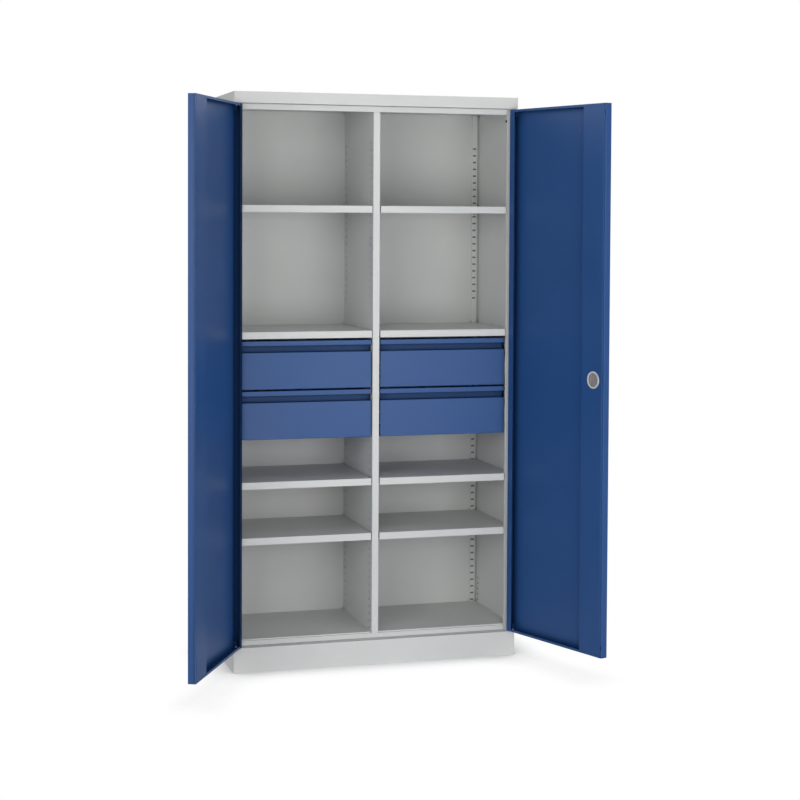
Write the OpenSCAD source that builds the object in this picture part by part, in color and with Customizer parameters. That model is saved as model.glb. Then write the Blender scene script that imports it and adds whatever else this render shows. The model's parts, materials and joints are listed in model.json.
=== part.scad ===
// Two-door sheet-metal tool cabinet: a hollow centre partition, eight shelves on clips, four drawers
// on telescopic runners, and pan-folded doors on pivot pins with a rotary rod lock.
// Millimetres, Z up. The front faces -Y. The origin is the centre of the plinth's underside.

/* [Cabinet] */
// Overall width
cabinet_w = 1000; // [800:10:1200]
// Overall depth, doors closed
cabinet_d = 420; // [380:10:600]
// Overall height
cabinet_h = 1950; // [1930:5:2050]
// Thickness of the carcass sheet
carcass_sheet = 1.0; // [0.8:0.1:1.5]
// Outer radius of a fold in the carcass sheet
carcass_bend = 2.0; // [1.7:0.1:2.5]

/* [Plinth and cap] */
// Height of the plinth
plinth_h = 84; // [60:1:110]
// Thickness of the plinth and cap sheet
base_sheet = 1.5; // [1:0.1:2]
// Height of the top cap
cap_h = 38; // [30:1:50]
// Width of the flanges that turn inwards on the plinth and the cap
base_flange = 48; // [46:1:60]
// Radius of the upright corners of the plinth and cap
base_corner = 3; // [2:0.5:5]

/* [Front frame] */
// How far the frame stands back from the front of the plinth
frame_setback = 30; // [29:1:40]
// Width of the post at each side of the frame
post_w = 29; // [24:1:35]
// Depth of the slotted return behind each post
post_return = 14; // [13:1:20]
// Height of the header under the cap
header_h = 20; // [14:1:30]
// How far the ceiling lies under the cap
ceiling_drop = 0; // [0:1:6]
// Height of the sill over the plinth
sill_h = 17; // [14:1:25]
// Step from the sill's upper edge up to the floor
floor_step = 4; // [4:1:8]
// Thickness of the centre partition
partition_t = 24; // [20:1:30]

/* [Slots] */
// Height of the top slot above the ground
slot_top_z = 1788; // [1700:1:1800]
// Distance from one slot to the next
slot_pitch = 25; // [20:1:32]
// Number of slots in the upper run
slots_upper = 23; // [18:1:24]
// Slots left out between the upper and the lower run
slots_skipped = 3; // [1:1:5]
// Number of slots in the lower run
slots_lower = 42; // [30:1:42]
// Width of a slot
slot_w = 12; // [8:1:13]
// Height of a slot
slot_h = 6; // [5:0.5:8]
// Distance from the partition's front edge to its front row of slots
front_row_in = 35; // [25:1:60]
// Distance from the back panel to the partition's rear row of slots
rear_row_in = 30; // [20:1:60]
// Width of the slotted strip in each rear corner
strip_w = 20; // [18:1:22]
// Depth of the slotted strip in each rear corner
strip_d = 6; // [5:0.5:9]
// Gap between the strip and the side wall
strip_gap = 6; // [4:1:8]
// Distance from the strip's inner edge to its row of slots
strip_row_in = 8; // [8:0.5:9]
// Diameter of the small round mounting holes near the floor
small_hole_d = 5; // [3:0.5:6]

/* [Shelves] */
// Height of the top shelf's surface
shelf_1_z = 1573; // [1500:1:1650]
// Height of the shelf over the drawers
shelf_2_z = 1146; // [1140:1:1200]
// Height of the third shelf
shelf_3_z = 638; // [600:1:700]
// Height of the fourth shelf
shelf_4_z = 449; // [400:1:500]
// Height of a shelf's front lip
shelf_lip = 24; // [20:1:30]
// Height of a shelf's side and rear edges
shelf_edge = 20; // [16:1:20]
// Gap between a shelf and the faces beside it
shelf_gap = 3; // [2:0.5:4]
// How far a shelf's lip stands forward of the frame
shelf_proud = 1; // [0:0.5:1.5]

/* [Shelf clips] */
// Width of a clip
clip_w = 10; // [8:1:12]
// Thickness of a clip
clip_t = 1.5; // [1:0.1:2]
// Length of the ledge that carries the shelf
clip_ledge = 11; // [8:1:14]

/* [Doors] */
// Thickness of a door leaf
leaf_t = 26; // [22:1:28]
// Thickness of the door sheet
door_sheet = 1.0; // [0.8:0.1:1.2]
// Outer radius of a fold in the door sheet
door_bend = 2.2; // [1.8:0.1:2.5]
// Gap between a door and the cabinet's side plane
side_reveal = 2.5; // [2:0.5:4]
// Gap between the two doors when they are shut
centre_gap = 3; // [2.5:0.5:5]
// Gap over and under each door
end_gap = 3.7; // [3.5:0.1:6]
// How far a shut door stands back from the plinth's front
front_reveal = 1; // [0:0.5:1]
// Width of the inner lip on the hinge side
hinge_lip = 25; // [20:1:30]
// Width of the inner lips at the top and the bottom
end_lip = 8; // [6:1:16]
// Width of the hem on the free edge
free_hem = 6; // [5:0.5:8]
// Distance from the free edge to the far side of the stiffener
stiffener_reach = 110; // [100:1:130]
// How far the right door is open in this model's rest pose, in degrees
right_open = 109; // [90:1:118]
// How far the left door is open in this model's rest pose, in degrees
left_open = 118; // [90:1:118]

/* [Door pivots] */
// Diameter of the pivot pins
pin_d = 6; // [5:0.5:6]
// Distance from the pin to the door's hinge edge and to its front face
pin_inset = 5; // [4.8:0.1:5.5]
// How far a pin reaches into the door
pin_reach = 22; // [16:1:30]
// Radial clearance of a pin in its bearing
pin_play = 0.05; // [0.03:0.01:0.1]
// Length of the bearing bracket along the door
bearing_len = 34; // [28:1:50]
// Distance from the bracket's screw to the door's hinge edge
bearing_screw_in = 19; // [18:0.5:22]

/* [Rod lock] */
// Height of the lock's axis
lock_z = 1002; // [950:1:1080]
// Distance from the right door's free edge to the lock's axis
lock_inset = 50; // [45:1:60]
// Travel of the lock rods
rod_travel = 24; // [20:1:24]
// Diameter of the lock rods
rod_d = 8; // [7:0.5:9]
// Distance from a shut door's front face to the rods' axis
rod_depth = 13; // [12.8:0.1:13.4]
// Diameter of the cam's two pins
cam_pin_d = 5; // [4:0.5:6]
// Outer diameter of the ring on the inside of the door
ring_d = 57; // [52:1:70]
// Inner diameter of that ring
ring_bore = 46; // [42:1:48]
// How far that ring stands out of the stiffener
ring_h = 2.5; // [2:0.1:2.5]
// Diameter of the turning grip outside
grip_d = 44; // [36:1:48]
// How far the grip stands out of the door
grip_h = 22; // [18:1:24]

/* [Drawers] */
// Height of the lower drawers' lower edge
drawer_z = 781; // [770:1:800]
// Height of a drawer front
front_h = 164; // [150:1:166]
// Gap between two drawer fronts, one over the other
front_gap = 5.5; // [4:0.5:8]
// Gap at each side of a drawer front
front_side_gap = 4.5; // [3:0.5:6]
// How far the drawer fronts stand behind the frame's face
front_in = 3; // [2:0.5:6]
// Height of the rolled strip over the finger groove
grip_strip = 17; // [12:1:20]
// Height of the finger groove
groove_h = 22; // [18:1:26]
// Depth of the finger groove
groove_d = 20; // [12:1:22]
// Thickness of the drawer sheet
drawer_sheet = 1.0; // [0.8:0.1:1.5]
// Height of a drawer's side walls
drawer_wall_h = 118; // [90:1:130]
// Longest body of a drawer behind its front; a shallow cabinet has shorter ones
drawer_len = 350; // [300:10:400]

/* [Runners] */
// Height of a runner
runner_h = 45; // [35:1:45]
// Space that a runner takes at each side of a drawer
runner_w = 12.5; // [12:0.1:14]
// Thickness of the runner sheet
runner_t = 1.2; // [1:0.1:1.5]
// Gap between the sliding members of a runner
runner_play = 0.5; // [0.4:0.1:0.7]
// Height of a runner's lower edge over the drawer front's lower edge
runner_rise = 40; // [25:1:60]
// Travel of a drawer
drawer_travel = 330; // [250:10:330]

/* [Hidden] */
$fn = 48;
far = 4000;            // longer than anything a cut has to pass through
grey = "#c6c8c6";
blue = "#2c4a85";
zinc = "#b9bcbf";
steel = "#8f9296";
left = -1;
right = 1;

// planes of the carcass
front_y = -cabinet_d / 2;
back_y = cabinet_d / 2;
frame_y = front_y + frame_setback;
half_w = cabinet_w / 2;
wall_x = half_w - carcass_sheet;
post_x = half_w - post_w;
return_y = frame_y + post_return;
sill_z = plinth_h + sill_h;
floor_z = sill_z + floor_step;
cap_z = cabinet_h - cap_h;
header_z = cap_z - header_h;
ceiling_z = cap_z - carcass_sheet - ceiling_drop;
panel_y = back_y - carcass_sheet;              // front of the back panel
flange_y = panel_y - carcass_sheet;            // front of the side panels' rear flanges
strip_y = flange_y - strip_d;                  // face of the rear strips
strip_x = wall_x - strip_gap - strip_w;
plate_gap = 0.5;                               // round the floor and the ceiling
part_x = partition_t / 2;

// slots
slot_n = slots_upper + slots_skipped + slots_lower;
slot_list = [
    for (i = [0:slot_n - 1], z = slot_top_z - i * slot_pitch)
        if ((i < slots_upper || i >= slots_upper + slots_skipped) && z > floor_z + slot_h) z
];
front_row_y = frame_y + front_row_in;
rear_row_y = panel_y - rear_row_in;
post_row_y = frame_y + (post_return + carcass_sheet) / 2;
strip_row_x = strip_x + strip_row_in;
post_slot_w = post_return - 6;
small_row_z = [for (i = [0:4]) floor_z + 11 + 20 * i];
wall_hole_y = panel_y - 24;                    // column of small holes in each side wall
rear_hole_y = panel_y - 8;                     // the same near the partition's rear edge
ceiling_hole_in = 40;                          // from the rear strip to the cable hole in the ceiling
ceiling_hole = [strip_x - ceiling_hole_in, 20];
ceiling_hole_d = 8;
jamb_hole_d = 7;                               // hole for the buffer near the top of each post
jamb_hole = [post_row_y - 2, header_z - 22];
buffer_head = 3.5;
buffer_rim = 1;                                // how far the buffer reaches past its hole
plug_head = 0.8;
plug_rim = 0.5;                                // how far a plug reaches past its hole
plug_fit = 0.6;                                // how much thinner its shank is than the hole

// shelves
shelf_z = [shelf_1_z, shelf_2_z, shelf_3_z, shelf_4_z];
shelf_y = frame_y - shelf_proud;

// doors, drawn shut and then swung open about their pins
leaf_x0 = centre_gap / 2;                      // free edge of the right door
leaf_x1 = half_w - side_reveal;                // hinge edge
leaf_y0 = front_y + front_reveal;              // front face
leaf_y1 = leaf_y0 + leaf_t;                    // inner face
leaf_z0 = plinth_h + end_gap;
leaf_z1 = cap_z - end_gap;
pin_x = leaf_x1 - pin_inset;
pin_y = leaf_y0 + pin_inset;
hem_drop = 1.5;                                // step of the right door's hem behind the stop strip
seam = 0.8;                                    // slit between the hem and the stiffener
stiff_x0 = leaf_x0 + free_hem + seam;
stiff_x1 = leaf_x0 + stiffener_reach;
hem_slot_in = 32;                              // from the door's ends to the end slots in the hem
hem_slot_h = 14;
bearing_t = 3;                                 // thickness of a bearing bracket
bearing_screw_d = 4;
bearing_screw_y = 11;                          // depth of the bracket's screw behind the door's front face

// lock, in the shut door
lock_x = leaf_x0 + lock_inset;
rod_y = leaf_y0 + rod_depth;
cam_r = rod_travel / sqrt(2);                  // the cam turns 90 degrees, 45 each way
yoke_play = 0.7;                               // takes up the cam's arc at mid travel
yoke_t = 3;
cam_t = 3;
cam_gap = 1;
case_t = 1.2;
case_half_w = 27;
case_half_h = 58;
spindle_d = 10;
turn_play = 0.05;                              // radial clearance of what turns or slides in the lock
disc_t = 3;
grip_gap = 4.4;                                // from the door's skin to the grip, over the rosette
grip_base = 6;                                 // height of the grip's round disc
waist = 13;                                    // width of the grip's bar at its waist
waist_r = 22;                                  // radius of the hollows beside the bar
plug_d = 12;                                   // key plug
plug_seat = 4;                                 // bottom of the key plug's bore in the grip
spindle_seat = 3.6;                            // how far the spindle reaches into the grip

// drawers, drawn at the right and mirrored for the left column
drawer_x0 = part_x;
drawer_x1 = post_x - carcass_sheet;            // face of the runner brackets
front_face_y = frame_y + front_in;
box_x0 = drawer_x0 + runner_w;
box_x1 = drawer_x1 - runner_w;
box_y0 = front_face_y + groove_d + 2 * drawer_sheet;
box_y1 = min(box_y0 + drawer_len, strip_y - 7);
upper_drawer_z = drawer_z + front_h + front_gap;
box_rise = 14;                                 // box's underside over the front's lower edge
front_foot = 30;                               // height of the front's lower inner return
box_rim = 7;                                   // width of the rim along a drawer's sides

// ---------- helpers ----------

// rectangle between two corners
module rect(a, b) {
    translate(a) square(b - a);
}

// box between two corners
module box(a, b) {
    translate(a) cube(b - a);
}

// rectangle with true round corners
module round_rect(a, b, r) {
    rect(a + [r, 0], b - [r, 0]);
    rect(a + [0, r], b - [0, r]);
    for (x = [a[0] + r, b[0] - r], y = [a[1] + r, b[1] - r]) translate([x, y]) circle(r);
}

// folded sheet in section: p is its centre line, square to the axes, t its thickness and
// r the outer radius of every fold
module folded(p, t, r) {
    m = r - t / 2;
    last = len(p) - 2;
    for (i = [0:last]) {
        u = unit(p[i + 1] - p[i]);
        a = p[i] + u * (i > 0 ? m : 0);
        b = p[i + 1] - u * (i < last ? m : 0);
        n = [abs(u[1]), abs(u[0])] * t / 2;
        rect(low(a, b) - n, high(a, b) + n);
    }
    for (i = [1:1:last]) {
        u = unit(p[i] - p[i - 1]);
        v = unit(p[i + 1] - p[i]);
        c = p[i] - u * m + v * m;
        intersection() {
            translate(c) difference() {
                circle(r);
                circle(r - t);
            }
            rect(low(c, c + (u - v) * r), high(c, c + (u - v) * r));
        }
    }
}
function unit(v) = v / norm(v);
function low(a, b) = [min(a[0], b[0]), min(a[1], b[1])];
function high(a, b) = [max(a[0], b[0]), max(a[1], b[1])];

// sweep a YZ section along X
module along_x(x0, x1) {
    translate([x0, 0, 0]) rotate([90, 0, 90]) linear_extrude(x1 - x0) children();
}

// sweep an XZ section along Y
module along_y(y0, y1) {
    translate([0, y1, 0]) rotate([90, 0, 0]) linear_extrude(y1 - y0) children();
}

// sweep an XY section along Z
module along_z(z0, z1) {
    translate([0, 0, z0]) linear_extrude(z1 - z0) children();
}

// rod along Y
module rod_y(x, z, y0, y1, d) {
    translate([x, y0, z]) rotate([-90, 0, 0]) cylinder(d = d, h = y1 - y0);
}

// the same part on the left or on the right
module side(s) {
    mirror([s == left ? 1 : 0, 0, 0]) children();
}

// ---------- carcass ----------

// a hollow folded frame, open inside its flanges, with a plate on top when lid is true
module base_frame(h, lid) {
    t = base_sheet;
    a = [-half_w, front_y];
    b = [half_w, back_y];
    flange = [base_flange, base_flange];
    difference() {
        along_z(0, h) round_rect(a, b, base_corner);
        along_z(t, h - t) rect(a + [t, t], b - [t, t]);
        along_z(-1, t + 1) rect(a + flange, b - flange);
        if (!lid) along_z(h - t - 1, h + 1) rect(a + flange, b - flange);
    }
}

// slot in a flange for a lock rod
module rod_slot(z0, z1) {
    half = [rod_d / 2 + 3, rod_d / 2 + 2];
    along_z(z0, z1) round_rect([lock_x, rod_y] - half, [lock_x, rod_y] + half, 3);
}

module plinth() {
    color(grey) difference() {
        base_frame(plinth_h, false);
        rod_slot(plinth_h - base_sheet - 1, plinth_h + 1);
    }
}

module top_cap() {
    color(grey) difference() {
        translate([0, 0, cap_z]) base_frame(cap_h, true);
        rod_slot(cap_z - 1, cap_z + base_sheet + 1);
    }
}

// floor or ceiling plate: narrow between the posts, wide between the walls
module plate_outline() {
    w = post_x - plate_gap;
    W = wall_x - plate_gap;
    y0 = return_y + 1;
    rect([-w, frame_y + 2 * carcass_bend], [w, y0 + 1]);
    rect([-W, y0], [W, flange_y - plate_gap]);
}

// edges of a floor or ceiling plate, square to it, along the walls and the back
module plate_edges(z0, z1) {
    t = carcass_sheet;
    x = wall_x - plate_gap;
    y = flange_y - plate_gap;
    along_z(z0, z1) {
        for (s = [left, right]) side(s) rect([x - t, return_y + 1], [x, y]);
        rect([-x, y - t], [x, y]);
    }
}

module floor_panel() {
    t = carcass_sheet;
    fold_y = return_y - 2;
    color(grey) {
        along_z(floor_z - t, floor_z) difference() {
            plate_outline();
            rect([-half_w, front_y], [half_w, fold_y]);
        }
        along_x(-post_x + plate_gap, post_x - plate_gap) folded([
            [frame_y + base_flange - frame_setback - 4, plinth_h + t / 2],
            [frame_y + t / 2, plinth_h + t / 2],
            [frame_y + t / 2, sill_z - t / 2],
            [fold_y - 2 * carcass_bend, sill_z - t / 2],
            [fold_y - 2 * carcass_bend, floor_z - t / 2],
            [fold_y + 0.5, floor_z - t / 2]
        ], t, carcass_bend);
        plate_edges(plinth_h, floor_z - t / 2);
    }
}

module ceiling_panel() {
    t = carcass_sheet;
    fold_y = return_y - 2;
    color(grey) difference() {
        union() {
            along_z(ceiling_z, ceiling_z + t) difference() {
                plate_outline();
                rect([-half_w, front_y], [half_w, fold_y]);
            }
            along_x(-post_x + plate_gap, post_x - plate_gap) folded([
                [fold_y - 2, cap_z - t / 2],
                [frame_y + t / 2, cap_z - t / 2],
                [frame_y + t / 2, header_z + t / 2],
                [fold_y + t / 2, header_z + t / 2],
                [fold_y + t / 2, ceiling_z + t / 2],
                [fold_y + 2 * carcass_bend, ceiling_z + t / 2]
            ], t, carcass_bend);
            plate_edges(ceiling_z + t / 2, cap_z);
        }
        for (s = [left, right]) side(s) translate([ceiling_hole[0], ceiling_hole[1], ceiling_z - 1])
            cylinder(d = ceiling_hole_d, h = t + 2);
    }
}

module back_panel() {
    color(grey) box([-half_w, panel_y, plinth_h], [half_w, back_y, cap_z]);
}

// wall, post and rear flange folded from one sheet, drawn for the right
module side_panel() {
    t = carcass_sheet;
    color(grey) difference() {
        along_z(plinth_h, cap_z) folded([
            [post_x + t / 2, return_y],
            [post_x + t / 2, frame_y + t / 2],
            [half_w - t / 2, frame_y + t / 2],
            [half_w - t / 2, panel_y - t / 2],
            [strip_x, panel_y - t / 2]
        ], t, carcass_bend);
        along_x(post_x - 1, post_x + t + 1) slot_holes(post_row_y, post_slot_w);
        translate([post_x - 1, jamb_hole.x, jamb_hole.y]) rotate([0, 90, 0])
            cylinder(d = jamb_hole_d, h = t + 2);
        along_x(wall_x - 1, half_w + 1) small_holes(wall_hole_y);
    }
}

// one row of slots, seen from the side
module slot_holes(y, w) {
    for (z = slot_list) rect([y - w / 2, z - slot_h / 2], [y + w / 2, z + slot_h / 2]);
}

// plug in a hole in the carcass sheet: its head lies on the face at x = 0
module plug(hole_d, rim, head_h) {
    translate([-head_h, 0, 0]) rotate([0, 90, 0]) cylinder(d = hole_d + 2 * rim, h = head_h);
    rotate([0, 90, 0]) cylinder(d = hole_d - plug_fit, h = carcass_sheet);
}

// plastic plugs in the small holes of the side walls, and a rubber buffer near the top of each post
module plugs_and_buffers() {
    color("#33363a") for (s = [left, right]) side(s) {
        for (z = small_row_z) translate([wall_x, wall_hole_y, z])
            plug(small_hole_d, plug_rim, plug_head);
        translate([post_x, jamb_hole.x, jamb_hole.y]) plug(jamb_hole_d, buffer_rim, buffer_head);
    }
}

// one column of small holes, seen from the side
module small_holes(y) {
    for (z = small_row_z) translate([y, z]) circle(d = small_hole_d);
}

module partition() {
    t = carcass_sheet;
    a = [-part_x, frame_y];
    b = [part_x, panel_y];
    color(grey) difference() {
        along_z(sill_z, ceiling_z) difference() {
            round_rect(a, b, carcass_bend);
            rect(a + [t, t], b - [t, t]);
        }
        box([-part_x - 1, return_y - 2 * carcass_bend - 3, sill_z - 1], [part_x + 1, back_y, floor_z]);
        along_x(-part_x - 1, part_x + 1) {
            slot_holes(front_row_y, slot_w);
            slot_holes(rear_row_y, slot_w);
            small_holes(rear_hole_y);
        }
        box([-part_x - 1, frame_y - 1, header_z - 0.3], [part_x + 1, return_y + 0.3, ceiling_z + 1]);
    }
}

// slotted channel in a rear corner, drawn for the right
module rear_strip() {
    t = carcass_sheet;
    color(grey) difference() {
        along_z(floor_z, ceiling_z) folded([
            [strip_x + t / 2, flange_y],
            [strip_x + t / 2, strip_y + t / 2],
            [strip_x + strip_w - t / 2, strip_y + t / 2],
            [strip_x + strip_w - t / 2, flange_y]
        ], t, carcass_bend);
        along_y(strip_y - 1, strip_y + t + 1) for (z = slot_list)
            rect([strip_row_x - slot_w / 2, z - slot_h / 2], [strip_row_x + slot_w / 2, z + slot_h / 2]);
    }
}

// ---------- shelves ----------

// outline of a right-hand shelf, stepped round the post and the rear strip
module shelf_outline(inset) {
    x0 = part_x + shelf_gap + inset;
    xf = post_x - shelf_gap - inset;
    xw = wall_x - 1 - inset;
    xr = strip_x - 1.5 - inset;
    y0 = shelf_y + inset;
    y1 = return_y + shelf_gap + inset;
    y2 = strip_y - shelf_gap - inset;
    y3 = panel_y - 1 - inset;
    polygon([[x0, y0], [xf, y0], [xf, y1], [xw, y1], [xw, y2], [xr, y2], [xr, y3], [x0, y3]]);
}

// folded tray with a deep front lip, z is the height of its surface
module shelf(s, z) {
    t = carcass_sheet;
    r = carcass_bend;
    y0 = shelf_y + 2 * r;
    color(grey) side(s) {
        along_z(z - t, z) difference() {
            shelf_outline(0);
            rect([0, shelf_y - 1], [half_w, y0]);
        }
        along_z(z - shelf_edge, z - t / 2) difference() {
            shelf_outline(0);
            shelf_outline(t);
            rect([0, shelf_y - 1], [half_w, y0]);
        }
        along_x(part_x + shelf_gap, post_x - shelf_gap) folded([
            [y0 + 0.5, z - t / 2],
            [shelf_y + t / 2, z - t / 2],
            [shelf_y + t / 2, z - shelf_lip]
        ], t, r);
        along_x(part_x + shelf_gap + clip_ledge, post_x - clip_ledge - 2) folded([
            [shelf_y + t / 2, z - t - r],
            [shelf_y + t / 2, z - shelf_lip + t / 2],
            [shelf_y + 12, z - shelf_lip + t / 2],
            [shelf_y + 12, z - shelf_lip + 7]
        ], t, r);
    }
}

// height of the slot that a shelf's clips hook into: the one nearest the shelf's underside
function hook_z(z) = nearest_slot(z - shelf_edge + 2);
function nearest_slot(z) =
    let (d = min([for (s = slot_list) abs(s - z)]))
    [for (s = slot_list) if (abs(s - z) == d) s][0];

// one clip on a face whose outward normal is +X: back plate, ledge and hook
module clip(z) {
    h = hook_z(z);
    ledge_z = z - shelf_edge;
    box([0, -clip_w / 2, min(h, ledge_z) - 8], [clip_t, clip_w / 2, max(h + 5, ledge_z)]);
    box([0, -clip_w / 2, ledge_z - clip_t], [clip_ledge, clip_w / 2, ledge_z]);
    w = min(clip_w, post_slot_w) / 2 - 1;
    box([-carcass_sheet - 1.8, -w, h - slot_h / 2 + 1], [0.5, w, h + slot_h / 2 - 1]);
    box([-carcass_sheet - 1.8, -w, h - slot_h / 2 - 3], [-carcass_sheet - 0.3, w, h + slot_h / 2 - 1]);
}

module shelf_clips() {
    color(zinc) for (s = [left, right], z = shelf_z) side(s) {
        for (y = [front_row_y, rear_row_y]) translate([part_x, y, 0]) clip(z);
        translate([post_x, post_row_y, 0]) rotate([0, 0, 180]) clip(z);
        translate([strip_row_x, strip_y, 0]) rotate([0, 0, -90]) clip(z);
    }
}

// ---------- doors ----------

// swing a shut door to its rest position; children are drawn for a right-hand door
module swing(s) {
    angle = s == left ? left_open : right_open;
    side(s) translate([pin_x, pin_y, 0]) rotate([0, 0, angle]) translate([-pin_x, -pin_y, 0]) children();
}

// door pan: front skin with four flanges, each with its inner lip
module door_panel(s) {
    t = door_sheet;
    drop = s == right ? hem_drop : 0;
    hem_y = leaf_y1 - drop;
    color(blue) swing(s) difference() {
        union() {
            along_z(leaf_z0, leaf_z1) folded([
                [leaf_x1 - hinge_lip, leaf_y1 - t / 2],
                [leaf_x1 - t / 2, leaf_y1 - t / 2],
                [leaf_x1 - t / 2, leaf_y0 + t / 2],
                [leaf_x0 + t / 2, leaf_y0 + t / 2],
                [leaf_x0 + t / 2, hem_y - t / 2],
                [leaf_x0 + free_hem, hem_y - t / 2]
            ], t, door_bend);
            for (z = [leaf_z0, leaf_z1 - t]) along_z(z, z + t) difference() {
                round_rect([leaf_x0, leaf_y0], [leaf_x1, leaf_y1], door_bend);
                rect([leaf_x0 - 1, hem_y], [leaf_x0 + free_hem + seam, leaf_y1 + 1]);
            }
            for (z = [leaf_z0, leaf_z1 - end_lip])
                box([stiff_x0, leaf_y1 - t, z], [leaf_x1 - hinge_lip + 0.5, leaf_y1, z + end_lip]);
        }
        if (s == right) lock_holes();
        for (z = [leaf_z0 - 1, leaf_z1 - t - 1]) translate([pin_x, pin_y, z])
            cylinder(d = pin_d + 1, h = t + 2);
    }
}

// holes for the lock's spindle and rods, and the three slots in the right door's hem
module lock_holes() {
    rod_y(lock_x, lock_z, leaf_y0 - 1, leaf_y0 + door_sheet + 1, spindle_d + 2);
    for (z = [leaf_z0 - 1, leaf_z1 - door_sheet - 1])
        translate([lock_x, rod_y, z]) cylinder(d = rod_d + 0.6, h = door_sheet + 2);
    for (z = [leaf_z0 + hem_slot_in, lock_z, leaf_z1 - hem_slot_in])
        box([leaf_x0 + 3, leaf_y1 - 4, z - hem_slot_h / 2],
            [leaf_x0 + free_hem + 1, leaf_y1 + 1, z + hem_slot_h / 2]);
}

// full-height box stiffener behind the free edge
module door_stiffener(s) {
    t = door_sheet;
    color(blue) swing(s) difference() {
        along_z(leaf_z0 + end_lip + 0.3, leaf_z1 - end_lip - 0.3) folded([
            [stiff_x0 + 10, leaf_y0 + 1.5 * t],
            [stiff_x0 + t / 2, leaf_y0 + 1.5 * t],
            [stiff_x0 + t / 2, leaf_y1 - t / 2],
            [stiff_x1 - t / 2, leaf_y1 - t / 2],
            [stiff_x1 - t / 2, leaf_y0 + 1.5 * t],
            [stiff_x1 - 10, leaf_y0 + 1.5 * t]
        ], t, door_bend);
        if (s == right) rod_y(lock_x, lock_z, leaf_y1 - t - 1, leaf_y1 + 1, ring_bore);
    }
}

// angle on the left door's free edge that the right door closes over
module left_stop_strip() {
    t = door_sheet;
    z0 = leaf_z0 + 6;
    z1 = leaf_z1 - 6;
    color(blue) swing(left) {
        box([leaf_x0 - t, leaf_y0 + 7, z0], [leaf_x0, leaf_y1 + t, z1]);
        box([leaf_x0 - centre_gap - free_hem, leaf_y1, z0], [leaf_x0, leaf_y1 + t, z1]);
    }
}

// both ends of a door; children are drawn for its lower end
module door_ends(s) {
    swing(s) for (top = [0, 1]) mirror_z(top, (leaf_z0 + leaf_z1) / 2) children();
}

// bracket in each hinge corner of a door, with the bore that turns on the pivot pin
module pivot_bearings(s) {
    t = door_sheet;
    z0 = leaf_z0 + t;
    y0 = leaf_y0 + t;
    fold = door_bend + 0.1;                    // keeps the bracket clear of the pan's inner folds
    color(blue) door_ends(s) difference() {
        union() {
            box([pin_x - 9, y0, z0], [leaf_x1 - t, y0 + 10, z0 + pin_reach]);
            box([leaf_x1 - bearing_len, y0, z0], [leaf_x1 - t, leaf_y1 - fold, z0 + bearing_t]);
        }
        box([leaf_x1 - fold, leaf_y0, z0 - 1], [leaf_x1, leaf_y0 + fold, z0 + pin_reach + 1]);
        translate([pin_x, pin_y, z0 - 1]) cylinder(d = pin_d + 2 * pin_play, h = pin_reach + 2);
        translate([leaf_x1 - bearing_screw_in, leaf_y0 + bearing_screw_y, z0 - 1])
            cylinder(d = bearing_screw_d + 0.8, h = bearing_t + 2);
    }
}

// screw that holds each bracket to the door's end flange
module bearing_screws(s) {
    z0 = leaf_z0 + door_sheet;
    color(zinc) door_ends(s) translate([leaf_x1 - bearing_screw_in, leaf_y0 + bearing_screw_y, z0]) {
        cylinder(d = bearing_screw_d, h = bearing_t + 1);
        translate([0, 0, bearing_t]) cylinder(d = 2 * bearing_screw_d - 1, h = 3);
    }
}

// flip to the door's upper end when on is 1
module mirror_z(on, z) {
    translate([0, 0, z * on * 2]) mirror([0, 0, on]) children();
}

// the four pivot pins, each with a collar that the door turns on
module hinge_pins() {
    mid = (plinth_h + cap_z) / 2;
    color(steel) for (s = [left, right], top = [0, 1]) side(s) mirror_z(top, mid)
        translate([pin_x, pin_y, plinth_h]) {
            cylinder(d = pin_d, h = end_gap + pin_reach);
            cylinder(d = 2 * pin_inset - 1, h = end_gap - 0.3);
        }
}

// ---------- rod lock ----------

// place a part of the lock: its axis is Y, its origin the lock's axis at the door's front face
module at_lock() {
    swing(right) translate([lock_x, leaf_y0, lock_z]) children();
}

yoke_y0 = rod_depth - 3.5;
cam_y0 = yoke_y0 - cam_gap - cam_t;
case_y0 = door_sheet;
case_y1 = leaf_t - door_sheet - disc_t - 1.5;

module lock_case() {
    t = case_t;
    color(zinc) at_lock() difference() {
        box([-case_half_w, case_y0, -case_half_h], [case_half_w, case_y1, case_half_h]);
        box([-case_half_w + t, case_y0 + t, -case_half_h + t],
            [case_half_w - t, case_y1 - t, case_half_h - t]);
        rod_y(0, 0, case_y0 - 1, case_y1 + 1, spindle_d + 2 * turn_play);
        translate([0, rod_depth, -case_half_h - 1]) cylinder(d = rod_d + 1, h = 2 * case_half_h + 2);
    }
}

module lock_ring() {
    color("#d5d8da") at_lock() difference() {
        union() {
            rod_y(0, 0, leaf_t, leaf_t + ring_h - 0.8, ring_d);
            translate([0, leaf_t + ring_h - 0.8, 0]) rotate([-90, 0, 0])
                cylinder(d1 = ring_d, d2 = ring_d - 3, h = 0.8);
        }
        rod_y(0, 0, leaf_t - 1, leaf_t + ring_h + 1, ring_bore);
    }
}

// spindle, cam with its two pins, and the disc that shows inside the ring
module lock_spindle() {
    a = cam_r / sqrt(2);
    color("#a8aaac") at_lock() {
        rod_y(0, 0, -grip_gap - spindle_seat, case_y1 + 0.5, spindle_d);
        rod_y(0, 0, cam_y0, cam_y0 + cam_t, 2 * cam_r + cam_pin_d + 3);
        for (s = [-1, 1]) rod_y(s * a, s * a, cam_y0, yoke_y0 + yoke_t + 0.5, cam_pin_d);
        difference() {
            rod_y(0, 0, case_y1 + 0.5, case_y1 + 0.5 + disc_t, ring_bore - 1);
            rod_y(0, 0, case_y1 + 0.5 + disc_t - 0.6, case_y1 + 2 + disc_t, ring_bore - 9);
        }
        rod_y(0, 0, case_y1 + 0.5, case_y1 + 0.8 + disc_t, 15);
    }
}

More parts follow.
